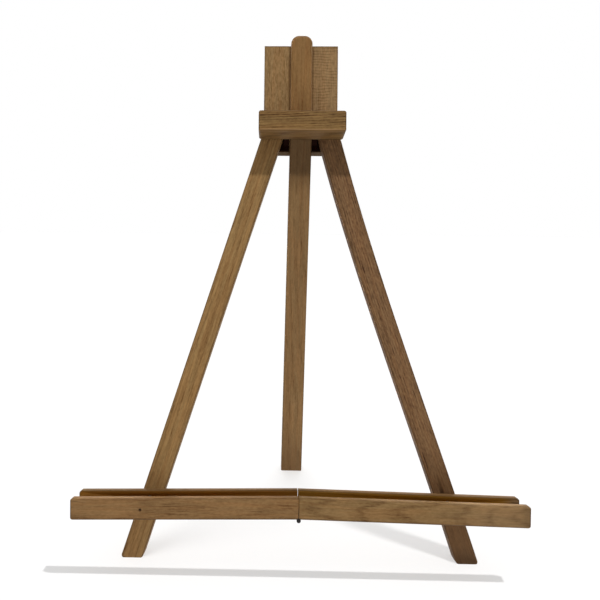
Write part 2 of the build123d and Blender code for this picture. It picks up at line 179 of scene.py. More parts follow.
# Features of the oak: how many lie in a metre across a board, through it and along its grain
wander_density = (24, 24, 5)
waver_density = (170, 170, 30)
pore_density = (1050, 1050, 42)
fibre_density = (700, 700, 22)
streak_density = (85, 85, 2.2)
fleck_density = (680, 680, 240)
mark_density = (330, 330, 26)
sway_density = (60, 30, 45)
patch_density = (75, 40, 60)
warmth_density = (230, 230, 15)

# Where the noise of a feature, from 0 to 1, starts to show, and where it shows fully
noise_middle = 0.5
pore_step = (0.55, 0.66)
mark_step = (0.67, 0.75)
row_step = (0.0, 0.9)
patch_step = (0.34, 0.54)
warmth_step = (0.42, 0.6)

# Marks and warmth read the noise in other places, so that they don't follow the fibres
mark_offset = (9.1, 9.1, 9.1)
warmth_offset = (3.3, 3.3, 3.3)
red_cast = (1.03, 0.97, 0.93)

# How dark a ring is at its first edge, at places across its width, and at its last edge
ring_first = 0.7
ring_between = ((0.12, 1.0), (0.3, 0.4), (0.6, 0.08), (0.9, 0.15))
ring_last = 0.6

# Reach of the trunk's bends and pitch of the ripples in metres, and how far the ripples sway in radians
wander_reach = 0.009
waver_reach = 0.0016
ripple_pitch = 0.0036
ripple_sway = 10.0

# Shares of each feature in the tone, the relief and the roughness
band_pores = 0.65
plain_pores = 0.35
broad_share = 1.2
fibre_share = 1.6
streak_middle = 1.4
base_tone = 0.12
tone_range = (-0.5, 1.4)
pore_relief = 0.75
fibre_relief = 0.4
pore_roughness = 0.2
fibre_roughness = 0.2
wood_roughness = 0.5

# Wear along the edges, and scuffs on the metal
least_wear = 0.5
uneven_density = (180, 180, 60)
rubbing_density = (60, 60, 22)
rubbing_step = (0.52, 0.68)
end_grain_step = (0.0008, 0.0001)
cloud_density = (260, 260, 260)
scratch_density = (2400, 300, 900)
scratch_step = (0.6, 0.72)
scuff_depth = 0.0001
zinc_light = srgb(150, 148, 143)
zinc_dark = srgb(104, 103, 101)
zinc_roughness = 0.22
zinc_cloud = 0.2
zinc_scratch = 0.15
zinc_relief = 0.2
lacquer_black = srgb(20, 18, 17)
lacquer_brown = srgb(54, 47, 42)
lacquer_roughness = 0.3
lacquer_cloud = 0.3
lacquer_gloss = 0.3
lacquer_relief = 0.25


# Effects that the finishes share

def build_oak_figure():
    """Growth rings round a pith beside the board, cut through as a saw would, with pores and fibres."""
    tree, given, result = group_tree(
        "oak_figure",
        "ShaderNodeTree",
        (
            ("Vector", vector_kind),
            ("Seed", number),
            ("Pith", vector_kind),
            ("Slope", vector_kind),
            ("Ring Width", number),
            ("Light", colour_kind),
            ("Dark", colour_kind),
            ("Rings", number),
            ("Streaks", number),
            ("Pores", number),
            ("Flecks", number),
            ("Ripples", number),
            ("Marks", number),
        ),
        (("Color", colour_kind), ("Height", number), ("Roughness", number)),
    )
    seed = given["Seed"]
    point = shift(tree, "ADD", given["Vector"], join(tree, seed, seed, seed))

    # The trunk's axis leans and wanders a little along the board
    along = split(tree, given["Vector"])["Z"]
    leaning = shift(tree, "MULTIPLY", given["Slope"], join(tree, along, along, along))
    wander = calc(tree, "SUBTRACT", noise(tree, point, wander_density), noise_middle)
    waver = calc(tree, "SUBTRACT", noise(tree, point, waver_density, detail=3), noise_middle)
    from_pith = shift(tree, "SUBTRACT", shift(tree, "ADD", given["Vector"], leaning), given["Pith"])
    radius = shift(tree, "LENGTH", shift(tree, "MULTIPLY", from_pith, (1, 1, 0)))
    radius = calc(tree, "ADD", radius, calc(tree, "MULTIPLY", wander, wander_reach))
    radius = calc(tree, "ADD", radius, calc(tree, "MULTIPLY", waver, waver_reach))

    # Each ring starts with a dark porous band and fades into pale late wood
    turn = calc(tree, "FRACT", calc(tree, "DIVIDE", radius, given["Ring Width"]))
    band = tree.nodes.new("ShaderNodeValToRGB")
    tree.links.new(turn, band.inputs[0])
    stops = band.color_ramp.elements
    stops[0].color = (ring_first, ring_first, ring_first, 1)
    stops[1].color = (ring_last, ring_last, ring_last, 1)
    for place, level in ring_between:
        stops.new(place).color = (level, level, level, 1)
    ring = band.outputs[0]

    # Pores are fine dashes along the grain, closest together in the dark bands
    dashes = ease(tree, noise(tree, point, pore_density, detail=1), *pore_step)
    crowding = calc(tree, "ADD", calc(tree, "MULTIPLY", ring, band_pores), plain_pores)
    pores = calc(tree, "MULTIPLY", dashes, crowding)
    fibres = noise(tree, point, fibre_density, detail=3)
    broad = noise(tree, point, streak_density)
    flecks = calc(tree, "SUBTRACT", noise(tree, point, fleck_density), noise_middle)
    mark_point = shift(tree, "ADD", point, mark_offset)
    marks = ease(tree, noise(tree, mark_point, mark_density, detail=1), *mark_step)

    # Ripples are wavy rows across the grain, that come and go
    phase = calc(tree, "MULTIPLY", along, 2 * pi / ripple_pitch)
    sway = calc(tree, "MULTIPLY", noise(tree, point, sway_density), ripple_sway)
    rows = ease(tree, calc(tree, "SINE", calc(tree, "ADD", phase, sway)), *row_step)
    patches = ease(tree, noise(tree, point, patch_density), *patch_step)
    ripples = calc(tree, "MULTIPLY", rows, patches)

    # Everything together says how far the colour goes from light to dark
    tone = calc(tree, "MULTIPLY", ring, given["Rings"])
    tone = calc(tree, "ADD", tone, calc(tree, "MULTIPLY", pores, given["Pores"]))
    broad_streak = calc(tree, "MULTIPLY", broad, broad_share)
    streak = calc(tree, "ADD", broad_streak, calc(tree, "MULTIPLY", fibres, fibre_share))
    streak = calc(tree, "SUBTRACT", streak, streak_middle)
    tone = calc(tree, "ADD", tone, calc(tree, "MULTIPLY", streak, given["Streaks"]))
    tone = calc(tree, "ADD", tone, calc(tree, "MULTIPLY", flecks, given["Flecks"]))
    tone = calc(tree, "ADD", tone, calc(tree, "MULTIPLY", ripples, given["Ripples"]))
    tone = calc(tree, "ADD", tone, calc(tree, "MULTIPLY", marks, given["Marks"]))
    tone = limit(tree, calc(tree, "ADD", tone, base_tone), *tone_range)
    colour = blend_colour(tree, tone, given["Light"], given["Dark"])

    # Some stretches are redder than others
    warm_point = shift(tree, "ADD", point, warmth_offset)
    warm = ease(tree, noise(tree, warm_point, warmth_density), *warmth_step)
    redder = shift(tree, "MULTIPLY", colour, red_cast)
    tree.links.new(blend_colour(tree, warm, colour, redder), result["Color"])

    # Pores and fibres lie below the surface and are rougher
    pore_sink = calc(tree, "MULTIPLY", pores, pore_relief)
    sink = calc(tree, "ADD", pore_sink, calc(tree, "MULTIPLY", fibres, fibre_relief))
    tree.links.new(calc(tree, "SUBTRACT", 1.0, sink), result["Height"])
    pore_grit = calc(tree, "MULTIPLY", pores, pore_roughness)
    rough = calc(tree, "ADD", pore_grit, calc(tree, "MULTIPLY", fibres, fibre_roughness))
    tree.links.new(calc(tree, "ADD", rough, wood_roughness), result["Roughness"])
    return tree


def build_arris_wear():
    """Marks the edges of a board where two of its faces meet, broken up as by handling."""
    tree, given, result = group_tree(
        "arris_wear",
        "ShaderNodeTree",
        (("Vector", vector_kind), ("Half Size", vector_kind), ("Width", number)),
        (("Edge", number), ("Rubbed", number), ("End Grain", number)),
    )
    inside = shift(tree, "SUBTRACT", given["Half Size"], shift(tree, "ABSOLUTE", given["Vector"]))
    side, through, end = split(tree, inside)
    nearer = calc(tree, "MINIMUM", side, through)
    farther = calc(tree, "MAXIMUM", side, through)
    second_nearest = calc(tree, "MAXIMUM", nearer, calc(tree, "MINIMUM", farther, end))
    uneven = noise(tree, given["Vector"], uneven_density, detail=3)
    reach = calc(tree, "MULTIPLY", given["Width"], calc(tree, "ADD", uneven, least_wear))
    edge = limit(tree, calc(tree, "SUBTRACT", 1.0, calc(tree, "DIVIDE", second_nearest, reach)))
    tree.links.new(edge, result["Edge"])
    patch = ease(tree, noise(tree, given["Vector"], rubbing_density, detail=3), *rubbing_step)
    tree.links.new(calc(tree, "MULTIPLY", edge, patch), result["Rubbed"])
    tree.links.new(ease(tree, end, *end_grain_step), result["End Grain"])
    return tree


def build_metal_scuffs():
    """Clouding and fine scratches for plated and lacquered metal."""
    tree, given, result = group_tree(
        "metal_scuffs",
        "ShaderNodeTree",
        (("Vector", vector_kind),),
        (("Cloud", number), ("Scratch", number)),
    )
    tree.links.new(noise(tree, given["Vector"], cloud_density, detail=4), result["Cloud"])
    lines = noise(tree, given["Vector"], scratch_density)
    tree.links.new(ease(tree, lines, *scratch_step), result["Scratch"])
    return tree


oak_figure = build_oak_figure()
arris_wear = build_arris_wear()
metal_scuffs = build_metal_scuffs()


# Finishes

def place_group(tree, group, values):
    """A node that uses a group, with its inputs set by name."""
    node = tree.nodes.new("ShaderNodeGroup")
    node.node_tree = group
    for name, value in values.items():
        put(tree, node.inputs[name], value)
    return node.outputs


def blank_material(name):
    """A node material with its shader and the object's own coordinates."""
    material = bpy.data.materials.new(name)
    material.use_nodes = True
    tree = material.node_tree
    shader = tree.nodes["Principled BSDF"]
    coordinates = tree.nodes.new("ShaderNodeTexCoord").outputs["Object"]
    return material, tree, shader, coordinates


def add_bump(tree, shader, height, strength, depth):
    """Relief from a height value."""
    bump = tree.nodes.new("ShaderNodeBump")
    bump.inputs["Strength"].default_value = strength
    bump.inputs["Distance"].default_value = depth
    tree.links.new(height, bump.inputs["Height"])
    tree.links.new(bump.outputs[0], shader.inputs["Normal"])


def board_frame(node, grain, face):
    """Rotation, middle and half size of a board: local z is along the grain, local y through its face."""
    z_axis = grain.normalized()
    y_axis = (face - z_axis * face.dot(z_axis)).normalized()
    x_axis = y_axis.cross(z_axis)
    turned = Matrix((x_axis, y_axis, z_axis))
    points = [turned @ vertex.co for vertex in nodes[node].data.vertices]
    low = Vector([min(point[axis] for point in points) for axis in range(3)])
    high = Vector([max(point[axis] for point in points) for axis in range(3)])
    rotation = turned.transposed()
    return rotation, rotation @ ((low + high) / 2), (high - low) / 2


def region_mask(tree, point, half, steps):
    """A mask that rises where a board's own coordinates, as shares of its half size, pass each step."""
    parts = split(tree, point)
    mask = 1.0
    for axis, start, end in steps:
        size = half["XYZ".index(axis)]
        mask = calc(tree, "MULTIPLY", mask, ease(tree, parts[axis], start * size, end * size))
    return mask


def hole_mask(tree, point, node, rotation, middle, half):
    """A mask round the one hole bored through a board's face, for the painted shade at its rim."""
    turned = rotation.transposed()
    points = [turned @ (vertex.co - middle) for vertex in nodes[node].data.vertices]
    inner = [spot for spot in points if abs(spot.x) < hole_zone[0] * half.x]
    wall = [spot for spot in inner if abs(spot.z) < hole_zone[1] * half.z]
    hole = sum(wall, Vector()) / len(wall)
    offset = shift(tree, "MULTIPLY", shift(tree, "SUBTRACT", point, hole), (1, 0, 1))
    return ease(tree, shift(tree, "LENGTH", offset), *rim_step)


def straightened(tree, coordinates):
    """The places of the bowed leg's wood before it bent, so that the grain bends with it."""
    x, y, z = split(tree, coordinates)
    down = limit(tree, calc(tree, "SUBTRACT", 1.0, calc(tree, "DIVIDE", z, hip.z)))
    bend = calc(tree, "MULTIPLY_ADD", down, leg_bow[2], leg_bow[1])
    bend = calc(tree, "MULTIPLY_ADD", bend, down, leg_bow[0])
    bend = calc(tree, "MULTIPLY", bend, down)
    return join(tree, calc(tree, "SUBTRACT", x, bend), y, z)


def oak_board(
    node, grain, face, light, dark,
    ripples=None, colour_marks=(), bored=False, bowed=False, joined_end=0.0, gloss=0.1, **figure,
):
    """Gives a board its own piece of oak, with the grain along it."""
    rotation, middle, half = board_frame(node, grain, face)
    material, tree, shader, coordinates = blank_material(f"oak_{node}")
    if bowed:
        coordinates = straightened(tree, coordinates)
    mapping = tree.nodes.new("ShaderNodeMapping")
    mapping.vector_type = "TEXTURE"
    mapping.inputs["Location"].default_value = middle
    mapping.inputs["Rotation"].default_value = rotation.to_euler()
    tree.links.new(coordinates, mapping.inputs["Vector"])
    point = mapping.outputs[0]
    values = {"Vector": point, "Light": light, "Dark": dark, "Flecks": usual_flecks, **figure}
    if ripples:
        strength, steps = ripples
        values["Ripples"] = calc(tree, "MULTIPLY", region_mask(tree, point, half, steps), strength)
    oak = place_group(tree, oak_figure, values)
    colour = oak["Color"]
    # Colour marks over the oak, painted shade and a painted highlight among them
    for mark_colour, share, steps in colour_marks:
        mask = calc(tree, "MULTIPLY", region_mask(tree, point, half, steps), share)
        colour = blend_colour(tree, mask, colour, mark_colour)
    worn_point = shift(tree, "ADD", point, (0, 0, joined_end))
    worn_half = half + Vector((0, 0, joined_end))
    wear = place_group(
        tree, arris_wear, {"Vector": worn_point, "Half Size": worn_half, "Width": arris_width}
    )
    for place, share, mark_colour in arris_marks:
        mask = calc(tree, "MULTIPLY", wear[place], share)
        colour = blend_colour(tree, mask, colour, mark_colour)
    # Painted shade at the rim of the bored hole
    if bored:
        mask = hole_mask(tree, point, node, rotation, middle, half)
        colour = blend_colour(tree, calc(tree, "MULTIPLY", mask, rim_share), colour, painted_shade)
    tree.links.new(colour, shader.inputs["Base Color"])
    tree.links.new(oak["Roughness"], shader.inputs["Roughness"])
    shader.inputs["Specular IOR Level"].default_value = gloss
    add_bump(tree, shader, oak["Height"], grain_relief, grain_depth)
    nodes[node].material_slots[0].material = material


# The right leg's bow: metres to the right, by powers of the share of the way from bolt to floor
leg_bow = (-0.0278, 0.0633, -0.0312)

# Marks that the boards share: sizes in metres, and shares of what they cover
arris_width = 0.0019
unworn_length = 0.003
usual_flecks = 0.4
grain_relief = 0.4
grain_depth = 0.0003
hole_zone = (0.6, 0.9)
rim_step = (0.0022, 0.0013)
rim_share = 0.9
# Darker along every arris
edge_darkening = srgb(66, 46, 26)
end_stain = srgb(62, 45, 27)
# Paler oak where edges are rubbed, also laid on the header as a painted highlight
rubbed_oak_and_highlight = srgb(150, 116, 76)
# Painted shade for the dark hollow under the header
painted_hollow_shade = srgb(26, 10, 5)
# Darker toward the feet of the legs
lower_leg_darkening = srgb(84, 60, 37)
# Painted shade, laid where boards shade one another and in hollows
painted_shade = srgb(66, 44, 24)
pale_oak = srgb(156, 127, 92)
# Marks along each board's arrises: darker end grain, darker edges, paler rubbed patches
arris_marks = (("End Grain", 0.75, end_stain), ("Edge", 0.75, edge_darkening), ("Rubbed", 0.4, rubbed_oak_and_highlight))

# The boards of oiled oak. A colour mark has its colour, its share and the steps between which it sets in. Painted
# shade and a painted highlight are among the marks, noted where they stand
oak_board(
    "header_bar", across, backward, srgb(127, 98, 58), srgb(74, 52, 25),
    colour_marks=(
        # A painted highlight along the lower edge of the front face
        (rubbed_oak_and_highlight, 0.8, (("X", 0.74, 0.86), ("Y", -0.8, -0.95))),
        # Painted shade along the bottom, the underside included
        (painted_shade, 0.3, (("X", 0.86, 0.92),)),
    ),
    Seed=3.1, Pith=(0.09, 0.012, 0), Slope=(0.05, 0, 0),
    **{"Ring Width": 0.0029}, Rings=0.5, Streaks=0.9, Pores=0.6, Flecks=1.0,
)
oak_board(
    "centre_slat", upward, backward, srgb(130, 97, 57), srgb(90, 63, 31),
    Seed=7.7, Pith=(0.01, 0.2, 0), Slope=(0.01, 0.02, 0),
    **{"Ring Width": 0.004}, Rings=0.25, Streaks=0.6, Pores=0.4, Flecks=0.9,
)
oak_board(
    "back_panel", upward, backward, srgb(141, 113, 76), srgb(92, 67, 39),
    ripples=(0.65, (("X", 0.1, 0.4),)),
    colour_marks=(
        (pale_oak, 0.3, (("X", 0.1, 0.4),)),
        # Painted shade on the front face beside the slat
        (painted_shade, 0.65, (("Y", -0.8, -1.0), ("X", -0.37, -0.3), ("X", 0.37, 0.3))),
        # Painted shade on the lower part of the front face, in the hollow under the header
        (painted_hollow_shade, 1.0, (("Y", -0.8, -1.0), ("Z", -0.7, -0.76))),
    ),
    gloss=0.02,
    Seed=1.4, Pith=(-0.16, 0.05, 0), Slope=(0.03, 0, 0),
    **{"Ring Width": 0.0023}, Rings=0.2, Streaks=0.5, Pores=0.45, Flecks=1.7,
)
oak_board(
    "left_leg", left_leg_run, backward, srgb(141, 111, 70), srgb(96, 68, 36),
    # Darker toward the foot
    colour_marks=((lower_leg_darkening, 0.25, (("Z", -0.5, -0.8),)),),
    Seed=5.2, Pith=(0.05, 0.1, 0), Slope=(0.02, 0.01, 0),
    **{"Ring Width": 0.0034}, Rings=0.25, Streaks=0.8, Pores=0.5, Flecks=0.9, Marks=0.4,
)
oak_board(
    "right_leg", right_leg_run, backward, srgb(118, 89, 60), srgb(70, 48, 30),
    # Darker toward the foot
    colour_marks=((lower_leg_darkening, 0.75, (("Z", -0.35, -0.8),)),), bowed=True,
    Seed=9.6, Pith=(-0.07, 0.03, 0), Slope=(0.025, 0.015, 0),
    **{"Ring Width": 0.0026}, Rings=0.25, Streaks=0.7, Pores=0.5, Flecks=1.6, Marks=0.7,
)
oak_board(
    "rear_leg", rear_leg_run, rear_leg_face, srgb(129, 101, 66), srgb(86, 62, 35),
    colour_marks=(
        # Darker toward the foot
        (lower_leg_darkening, 0.5, (("Z", -0.6, -0.95),)),
        # Painted shade at the top, under the header
        (painted_shade, 0.55, (("Z", 0.7, 0.85),)),
    ),
    Seed=12.3, Pith=(0.03, 0.09, 0), Slope=(0.02, 0.01, 0),
    **{"Ring Width": 0.003}, Rings=0.2, Streaks=0.6, Pores=0.45, Flecks=0.8,
)
plain_lip = {
    "Pith": (0.004, 0.05, 0), "Slope": (0.006, 0.014, 0), "Ring Width": 0.0024,
    "Rings": 0.3, "Streaks": 0.5, "Pores": 0.4, "Flecks": 1.0,
}
arched_lip = {
    "Pith": (0.002, 0.03, 0), "Slope": (0.01, 0.06, 0), "Ring Width": 0.0026,
    "Rings": 0.5, "Streaks": 0.55, "Pores": 0.45, "Flecks": 1.0,
}
# Colour marks of the right front lip: paler along most of it, with painted shade toward its rounded outer end
right_lip_tone_and_shade = (
    (pale_oak, 0.25, (("Z", 0.0, 0.8),)),
    (painted_shade, 0.3, (("Z", 0.9, 0.97),)),
)
channel_figure = {
    "Pith": (0.02, 0.09, 0), "Slope": (0.02, 0.02, 0), "Ring Width": 0.0031, "Rings": 0.4,
}
tray_light = srgb(134, 104, 68)
tray_dark = srgb(90, 64, 34)
channel_fade = 0.15
back_lip_seed = 2.3
tray_base_seed = 4.9
# Each half: name, seed, light and dark oak, lip figure, lip colour marks, the painted shade of the channel, and
# how far along the back lip that shade reaches
tray_halves = (
    ("left", 15.8, srgb(127, 97, 62), srgb(85, 60, 33), plain_lip, (), srgb(142, 93, 22), 1.2),
    (
        "right", 21.5, srgb(132, 104, 67), srgb(90, 65, 36), arched_lip, right_lip_tone_and_shade,
        srgb(150, 106, 27), 0.97,
    ),
)
for side_name, seed, light, dark, figure, lip_marks, channel_painted_shade, channel_end in tray_halves:
    # Painted shade in the channel between the lips: the front lip's back face, the back lip's front face and the
    # base's top
    run = tray_run[side_name]
    oak_board(
        f"{side_name}_front_lip", run, backward, light, dark,
        colour_marks=(*lip_marks, (channel_painted_shade, 0.6, (("Y", 0.8, 1.0),))),
        bored=side_name == "left", joined_end=unworn_length, Seed=seed, **figure,
    )
    oak_board(
        f"{side_name}_back_lip", run, backward, tray_light, tray_dark,
        colour_marks=(
            (channel_painted_shade, 0.85, (("Y", -0.8, -1.0), ("Z", channel_end, channel_end - channel_fade))),
        ),
        joined_end=unworn_length,
        Seed=seed + back_lip_seed, Streaks=0.9, Pores=0.6, Flecks=1.3, **channel_figure,
    )
    oak_board(
        f"{side_name}_tray_base", run, upward, tray_light, tray_dark,
        colour_marks=((channel_painted_shade, 0.6, (("Y", 0.8, 1.0),)),),
        joined_end=unworn_length,
        Seed=seed + tray_base_seed, Streaks=0.7, Pores=0.5, **channel_figure,
    )


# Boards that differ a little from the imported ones. Sizes are in metres
merge_distance = 1e-6
face_tolerance = 1e-5
smooth_angle = radians(30)
bow_cuts = 24
hole_room = 0.012
hole_reach = 0.008
joint_line = 0.0004


def merged_shape(node):
    """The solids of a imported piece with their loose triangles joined."""
    shape = bmesh.new()
    shape.from_mesh(nodes[node].data)
    bmesh.ops.remove_doubles(shape, verts=shape.verts, dist=merge_distance)
    return shape


def add_copy(shape, node, name):
    """A changed board as a piece of its own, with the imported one's finish."""
    mesh = bpy.data.meshes.new(name)
    shape.to_mesh(mesh)
    shape.free()
    mesh.shade_smooth()
    mesh.set_sharp_from_angle(angle=smooth_angle)
    mesh.materials.append(nodes[node].material_slots[0].material)
    piece = bpy.data.objects.new(name, mesh)
    bpy.context.scene.collection.objects.link(piece)
    return piece


def bow_right_leg():
    """A copy of the right leg with the bow of its wood. Its foot stays level and its holes stay put."""
    shape = merged_shape("right_leg")
    for step in range(1, bow_cuts):
        height = hip.z * step / bow_cuts
        if abs(height - ledge.z) > hole_room:
            bmesh.ops.bisect_plane(
                shape, geom=shape.verts[:] + shape.edges[:] + shape.faces[:],
                dist=merge_distance, plane_co=(0, 0, height), plane_no=(0, 0, 1),
            )
    holes = [Vector((-pivot.x, pivot.y, pivot.z)) for pivot in (hip, ledge)]
    for vertex in shape.verts:
        from_holes = [(vertex.co - hole).cross(forward).length for hole in holes]
        if min(from_holes) > hole_reach:
            down = max(0.0, 1 - vertex.co.z / hip.z)
            vertex.co.x += down * (leg_bow[0] + down * (leg_bow[1] + down * leg_bow[2]))
    piece = add_copy(shape, "right_leg", "right_leg_bowed")
    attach(piece, "right_leg")
    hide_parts("right_leg")
    return piece


def fit_joint(side_name, board):
    """A copy of a tray board with an upright inner end, so that the two halves meet in a fine line."""
    node = f"{side_name}_{board}"
    run = tray_run[side_name]
    shape = merged_shape(node)
    inner_end = min(vertex.co.dot(run) for vertex in shape.verts)
    for vertex in shape.verts:
        if vertex.co.dot(run) - inner_end < face_tolerance:
            vertex.co.x = joint_line if side_name == "right" else -joint_line
    piece = add_copy(shape, node, f"{node}_fitted")
    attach(piece, f"{side_name}_tray")
    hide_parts(node)
    return piece


bowed_leg = bow_right_leg()
front_lips = [fit_joint(side_name, "front_lip") for side_name in ("left", "right")]
channel_boards = [
    fit_joint(side_name, board)
    for side_name in ("left", "right")
    for board in ("tray_base", "back_lip")
]


def plated_steel(name):
    """Bright zinc plating, clouded and finely rubbed."""
    material, tree, shader, coordinates = blank_material(name)
    scuffs = place_group(tree, metal_scuffs, {"Vector": coordinates})
    colour = blend_colour(tree, scuffs["Cloud"], zinc_light, zinc_dark)
    tree.links.new(colour, shader.inputs["Base Color"])
    clouded = calc(tree, "MULTIPLY", scuffs["Cloud"], zinc_cloud)
    scratched = calc(tree, "MULTIPLY", scuffs["Scratch"], zinc_scratch)
    rough = calc(tree, "ADD", calc(tree, "ADD", clouded, zinc_roughness), scratched)
    tree.links.new(rough, shader.inputs["Roughness"])
    shader.inputs["Metallic"].default_value = 1.0
    add_bump(tree, shader, scuffs["Cloud"], zinc_relief, scuff_depth)
    return material


def black_lacquer(name):
    """Black lacquered steel with a little brown wear on the high spots."""
    material, tree, shader, coordinates = blank_material(name)
    scuffs = place_group(tree, metal_scuffs, {"Vector": coordinates})
    colour = blend_colour(tree, scuffs["Scratch"], lacquer_black, lacquer_brown)
    tree.links.new(colour, shader.inputs["Base Color"])
    clouded = calc(tree, "MULTIPLY", scuffs["Cloud"], lacquer_cloud)
    rough = calc(tree, "ADD", clouded, lacquer_roughness)
    tree.links.new(rough, shader.inputs["Roughness"])
    shader.inputs["Specular IOR Level"].default_value = lacquer_gloss
    add_bump(tree, shader, scuffs["Cloud"], lacquer_relief, scuff_depth)
    return material


steel = plated_steel("plated_steel")
hinge_black = black_lacquer("hinge_black")
metal_finish = {"steel": steel, "hinge_black": hinge_black}
for part in frame["record"]["subparts"]:
    finish = metal_finish.get(part["material_slot"])
    if finish:
        nodes[part["node"]].material_slots[0].material = finish


# Screws and bolts, which repeat, so a node tree makes each kind and sets it on its places.
# Sides are counts, and the rest are shares of the head's or the shank's own size
round_sides = 32
point_sides = 16
chamfer_sides = 48
hex_sides = 6
recess_length = 1.15
recess_width = 0.3
point_share = 0.35
flat_top_share = 0.84
chamfer_spread = 2.2
chamfer_depth = 1.2
place_digits = 5


def add_node(tree, kind, values=(), **settings):
    """A node with its settings and its inputs by name."""
    node = tree.nodes.new(kind)
    for name, value in settings.items():
        setattr(node, name, value)
    for name, value in dict(values).items():
        put(tree, node.inputs[name], value)
    return node.outputs[0]


def moved(tree, geometry, rise):
    """A shape moved along its axis."""
    return add_node(
        tree, "GeometryNodeTransform",
        {"Geometry": geometry, "Translation": join(tree, 0.0, 0.0, rise)},
    )


def joined(tree, *shapes):
    """Several shapes as one."""
    node = tree.nodes.new("GeometryNodeJoinGeometry")
    for shape in shapes:
        tree.links.new(shape, node.inputs[0])
    return node.outputs[0]


def set_on_places(tree, given, result, fastener):
    """Puts a fastener on every place, pointing outward, each turned by chance, as one mesh."""
    outward = add_node(
        tree, "GeometryNodeInputNamedAttribute", {"Name": "outward"}, data_type="FLOAT_VECTOR",
    )
    aim = add_node(tree, "FunctionNodeAlignRotationToVector", {"Vector": outward}, axis="Z")

    # The second kind of number that this node draws is a fraction, here up to half a turn
    chance = tree.nodes.new("FunctionNodeRandomValue")
    chance.inputs[3].default_value = pi
    tree.links.new(given["Seed"], chance.inputs["Seed"])
    twist = add_node(
        tree, "FunctionNodeAxisAngleToRotation", {"Axis": (0, 0, 1), "Angle": chance.outputs[1]},
    )
    aim = add_node(
        tree, "FunctionNodeRotateRotation", {"Rotation": aim, "Rotate By": twist}, rotation_space="LOCAL",
    )
    placed = add_node(
        tree, "GeometryNodeInstanceOnPoints",
        {"Points": given["Geometry"], "Instance": fastener, "Rotation": aim},
    )
    plain = add_node(tree, "GeometryNodeRealizeInstances", {"Geometry": placed})
    tree.links.new(
        add_node(tree, "GeometryNodeSetMaterial", {"Geometry": plain, "Material": given["Metal"]}),
        result["Geometry"],
    )


def build_cross_screw():
    """A wood screw with a cross recess: head from its top to its foot, then a tapering shank."""
    tree, given, result = group_tree(
        "cross_screw",
        "GeometryNodeTree",
        (
            ("Geometry", "NodeSocketGeometry"),
            ("Head Top Radius", number),
            ("Head Foot Radius", number),
            ("Head Height", number),
            ("Shank Radius", number),
            ("Length", number),
            ("Recess Depth", number),
            ("Seed", "NodeSocketInt"),
            ("Metal", "NodeSocketMaterial"),
        ),
        (("Geometry", "NodeSocketGeometry"),),
    )
    head = add_node(
        tree, "GeometryNodeMeshCone",
        {
            "Vertices": round_sides,
            "Radius Top": given["Head Top Radius"],
            "Radius Bottom": given["Head Foot Radius"],
            "Depth": given["Head Height"],
        },
    )
    head = moved(tree, head, calc(tree, "MULTIPLY", given["Head Height"], -1.0))
    long_side = calc(tree, "MULTIPLY", given["Head Top Radius"], recess_length)
    short_side = calc(tree, "MULTIPLY", given["Head Top Radius"], recess_width)
    depth = calc(tree, "MULTIPLY", given["Recess Depth"], 2.0)
    cut = tree.nodes.new("GeometryNodeMeshBoolean")
    cut.operation = "DIFFERENCE"
    tree.links.new(head, cut.inputs["Mesh 1"])
    for sides in ((long_side, short_side), (short_side, long_side)):
        bar = add_node(tree, "GeometryNodeMeshCube", {"Size": join(tree, *sides, depth)})
        tree.links.new(bar, cut.inputs["Mesh 2"])
    shank_length = calc(tree, "SUBTRACT", given["Length"], given["Head Height"])
    shank = add_node(
        tree, "GeometryNodeMeshCone",
        {
            "Vertices": point_sides,
            "Radius Top": given["Shank Radius"],
            "Radius Bottom": calc(tree, "MULTIPLY", given["Shank Radius"], point_share),
            "Depth": shank_length,
        },
    )
    shank = moved(tree, shank, calc(tree, "MULTIPLY", given["Length"], -1.0))
    set_on_places(tree, given, result, joined(tree, cut.outputs[0], shank))
    return tree


def build_hex_bolt():
    """A hex bolt: head chamfered on its top corners, then a plain shank."""
    tree, given, result = group_tree(
        "hex_bolt",
        "GeometryNodeTree",
        (
            ("Geometry", "NodeSocketGeometry"),
            ("Head Radius", number),
            ("Head Height", number),
            ("Shank Radius", number),
            ("Length", number),
            ("Seed", "NodeSocketInt"),
            ("Metal", "NodeSocketMaterial"),
        ),
        (("Geometry", "NodeSocketGeometry"),),
    )
    prism = add_node(
        tree, "GeometryNodeMeshCylinder",
        {"Vertices": hex_sides, "Radius": given["Head Radius"], "Depth": given["Head Height"]},
    )
    prism = moved(tree, prism, calc(tree, "MULTIPLY", given["Head Height"], -0.5))
    top_radius = calc(tree, "MULTIPLY", given["Head Radius"], flat_top_share)
    slope = calc(tree, "MULTIPLY", given["Head Height"], chamfer_spread)
    cone = add_node(
        tree, "GeometryNodeMeshCone",
        {
            "Vertices": chamfer_sides,
            "Radius Top": top_radius,
            "Radius Bottom": calc(tree, "ADD", top_radius, slope),
            "Depth": calc(tree, "MULTIPLY", given["Head Height"], chamfer_depth),
        },
    )
    cone = moved(tree, cone, calc(tree, "MULTIPLY", given["Head Height"], -chamfer_depth))
    cut = tree.nodes.new("GeometryNodeMeshBoolean")
    cut.operation = "INTERSECT"
    cut.solver = "EXACT"
    tree.links.new(prism, cut.inputs["Mesh 2"])
    tree.links.new(cone, cut.inputs["Mesh 2"])
    shank_length = calc(tree, "SUBTRACT", given["Length"], given["Head Height"])
    shank = add_node(
        tree, "GeometryNodeMeshCylinder",
        {"Vertices": round_sides, "Radius": given["Shank Radius"], "Depth": shank_length},
    )
    middle = calc(tree, "ADD", given["Head Height"], calc(tree, "MULTIPLY", shank_length, 0.5))
    shank = moved(tree, shank, calc(tree, "MULTIPLY", middle, -1.0))
    set_on_places(tree, given, result, joined(tree, cut.outputs[0], shank))
    return tree


